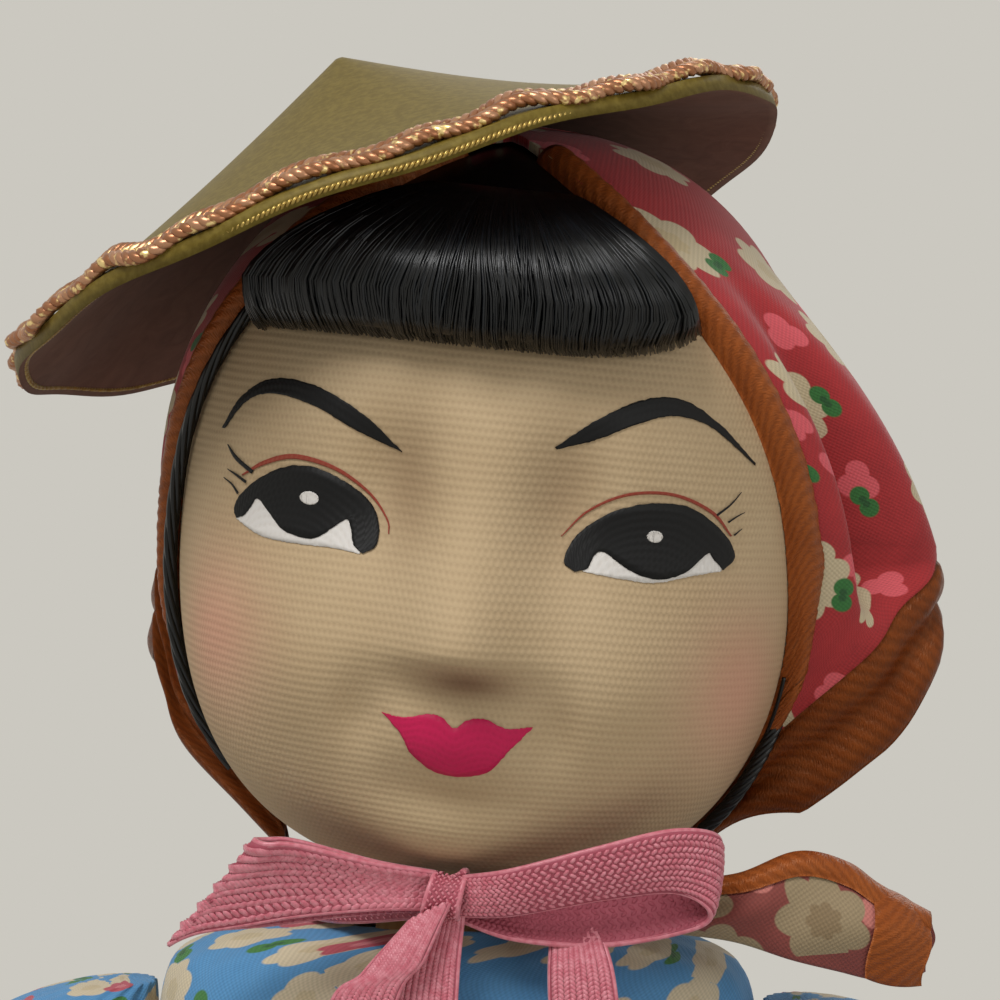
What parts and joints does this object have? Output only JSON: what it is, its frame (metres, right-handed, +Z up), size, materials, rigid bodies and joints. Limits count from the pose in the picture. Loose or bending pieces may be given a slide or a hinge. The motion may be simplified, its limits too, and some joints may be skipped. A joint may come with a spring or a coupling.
{
  "type": "dressed doll",
  "caption": "Standing dressed doll with a cloth mask face, printed headscarf, tilted cone hat, ribbon bow and a turned stand; head turns, arms swing and bend.",
  "frame": {"origin": "middle of the stand's underside", "axes": "+Z up along the doll, -Y the way its chest faces, +X to the doll's own left"},
  "size_m": [0.068, 0.068, 0.1913],
  "materials": {
    "stained_wood": "dark stained, satin varnish",
    "birch_wood": "turned and sanded, thin wax",
    "steel_wire": "plain wire",
    "black_cloth": "matt woven",
    "navy_cotton": "matt woven",
    "blue_print_cotton": "printed cotton with small cream flowers",
    "pink_rayon": "glossy plaited ribbon",
    "face_cloth": "ribbed cloth over a moulded mask, painted features",
    "black_floss": "glossy combed floss",
    "red_print_cotton": "printed cotton with cream flowers",
    "copper_satin": "satin weave",
    "gold_card": "gold paint outside, brown inside",
    "metal_braid": "metal thread, glittering",
    "gold_cord": "metal thread, bright"
  },
  "bodies": {
    "figure": {"base": "stained_wood", "left_leg": "birch_wood", "right_leg": "birch_wood", "left_slipper": "black_cloth", "right_slipper": "black_cloth", "left_trouser_leg": "navy_cotton", "right_trouser_leg": "navy_cotton", "torso": "birch_wood", "neck_peg": "birch_wood", "shoulder_axle": "birch_wood", "left_axle_cap": "birch_wood", "right_axle_cap": "birch_wood", "blouse_body": "blue_print_cotton", "neck_ribbon": "pink_rayon", "bow_knot": "pink_rayon", "bow_loop_left": "pink_rayon", "bow_loop_right": "pink_rayon", "bow_tail_left": "pink_rayon", "bow_tail_middle": "pink_rayon", "bow_tail_right": "pink_rayon", "scarf_tail": "red_print_cotton"},
    "head": {"head_core": "birch_wood", "face_mask": "face_cloth", "hair_back": "black_floss", "hair_fringe": "black_floss", "hair_edge_left": "black_floss", "hair_edge_right": "black_floss", "scarf_hood": "red_print_cotton", "scarf_binding_left": "copper_satin", "scarf_binding_right": "copper_satin", "scarf_hem_band": "copper_satin", "hat_cone": "gold_card", "hat_braid": "metal_braid", "hat_cord": "gold_cord"},
    "left_arm": {"left_upper_arm": "birch_wood", "left_sleeve": "blue_print_cotton", "left_elbow_pin": "steel_wire"},
    "left_lower_arm": {"left_forearm": "birch_wood"},
    "right_arm": {"right_upper_arm": "birch_wood", "right_sleeve": "blue_print_cotton", "right_elbow_pin": "steel_wire"},
    "right_lower_arm": {"right_forearm": "birch_wood"}
  },
  "joints": [
    {"name": "head_turn", "type": "hinge", "parent": "figure", "child": "head", "pos_m": [0, 0, 0.141], "axis": [0, 0, 1], "range_deg": [-25, 25]},
    {"name": "left_shoulder", "type": "hinge", "parent": "figure", "child": "left_arm", "pos_m": [0.0246, 0, 0.128], "axis": [-1, 0, 0], "range_deg": [-30, 90]},
    {"name": "left_elbow", "type": "hinge", "parent": "left_arm", "child": "left_lower_arm", "pos_m": [0.0246, 0, 0.098], "axis": [-1, 0, 0], "range_deg": [0, 90]},
    {"name": "right_shoulder", "type": "hinge", "parent": "figure", "child": "right_arm", "pos_m": [-0.0246, 0, 0.128], "axis": [-1, 0, 0], "range_deg": [-30, 90]},
    {"name": "right_elbow", "type": "hinge", "parent": "right_arm", "child": "right_lower_arm", "pos_m": [-0.0246, 0, 0.098], "axis": [-1, 0, 0], "range_deg": [0, 90]}
  ]
}
